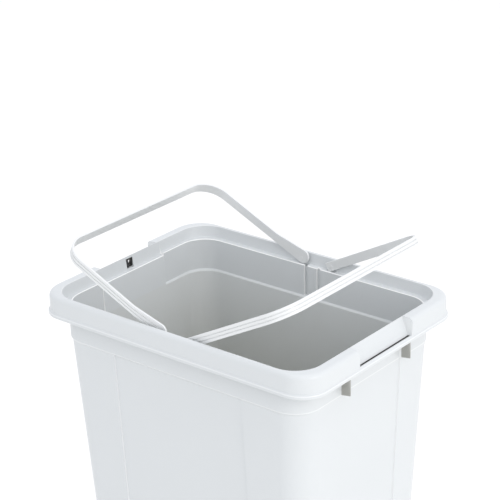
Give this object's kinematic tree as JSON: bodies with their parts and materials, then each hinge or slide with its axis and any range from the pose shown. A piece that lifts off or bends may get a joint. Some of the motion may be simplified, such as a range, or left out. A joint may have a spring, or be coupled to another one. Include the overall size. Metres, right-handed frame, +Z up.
{
  "type": "pedal trash can",
  "caption": "Open rectangular tapered pedal bin with a rolled rim, swing-up bag frames inside the mouth, and a foot pedal that lifts a push rod for a lid.",
  "frame": {"origin": "on the floor, under the middle of the bin", "axes": "+Z up, +X to the front where the pedal is, Y across"},
  "size_m": [0.416, 0.3, 0.6329],
  "materials": {
    "bin_white": "fine satin injection-moulded polypropylene",
    "frame_white": "satin moulded polypropylene",
    "base_white": "satin moulded polypropylene",
    "cover_white": "satin moulded polypropylene",
    "pedal_white": "lightly grained moulded polypropylene",
    "rubber_grey": "soft matt elastomer",
    "steel": "zinc-plated",
    "spring_steel": "blued spring steel",
    "nylon": "natural nylon",
    "dark_plastic": "black acetal"
  },
  "bodies": {
    "bin": {"bin_body": "bin_white", "base_ring": "base_white", "base_feet": "rubber_grey", "base_screws": "steel", "pedal_axle": "steel", "axle_clips": "spring_steel", "axle_spacers": "nylon", "lever_bumpers": "rubber_grey", "rod_guides": "nylon", "rod_cover": "cover_white", "cover_screws": "steel"},
    "front_frame": {"bag_frame_front": "frame_white"},
    "rear_frame": {"bag_frame_rear": "frame_white"},
    "pedal": {"lever_plate_left": "steel", "lever_plate_right": "steel", "lever_bridge": "steel", "pedal_pad": "pedal_white", "pedal_tread": "rubber_grey"},
    "lift_rod": {"push_rod": "steel", "push_rod_head": "dark_plastic", "link_pin": "steel"}
  },
  "joints": [
    {"name": "front_frame_swing", "type": "hinge", "parent": "bin", "child": "front_frame", "pos_m": [0.027, 0, 0.5519], "axis": [0, -1, 0], "range_deg": [-28, 59]},
    {"name": "rear_frame_swing", "type": "hinge", "parent": "bin", "child": "rear_frame", "pos_m": [-0.019, 0, 0.5519], "axis": [0, 1, 0], "range_deg": [-24.5, 62]},
    {"name": "pedal_press", "type": "hinge", "parent": "bin", "child": "pedal", "pos_m": [0.03, 0, 0.034], "axis": [0, 1, 0], "range_deg": [0, 7]},
    {"name": "rod_lift", "type": "slide", "parent": "bin", "child": "lift_rod", "axis": [-0.0499, 0, 0.9988], "range_m": [0, 0.0255]}
  ],
  "couplings": [
    {"joint": "rod_lift", "follows": "pedal_press", "m_per_rad": 0.2027}
  ]
}
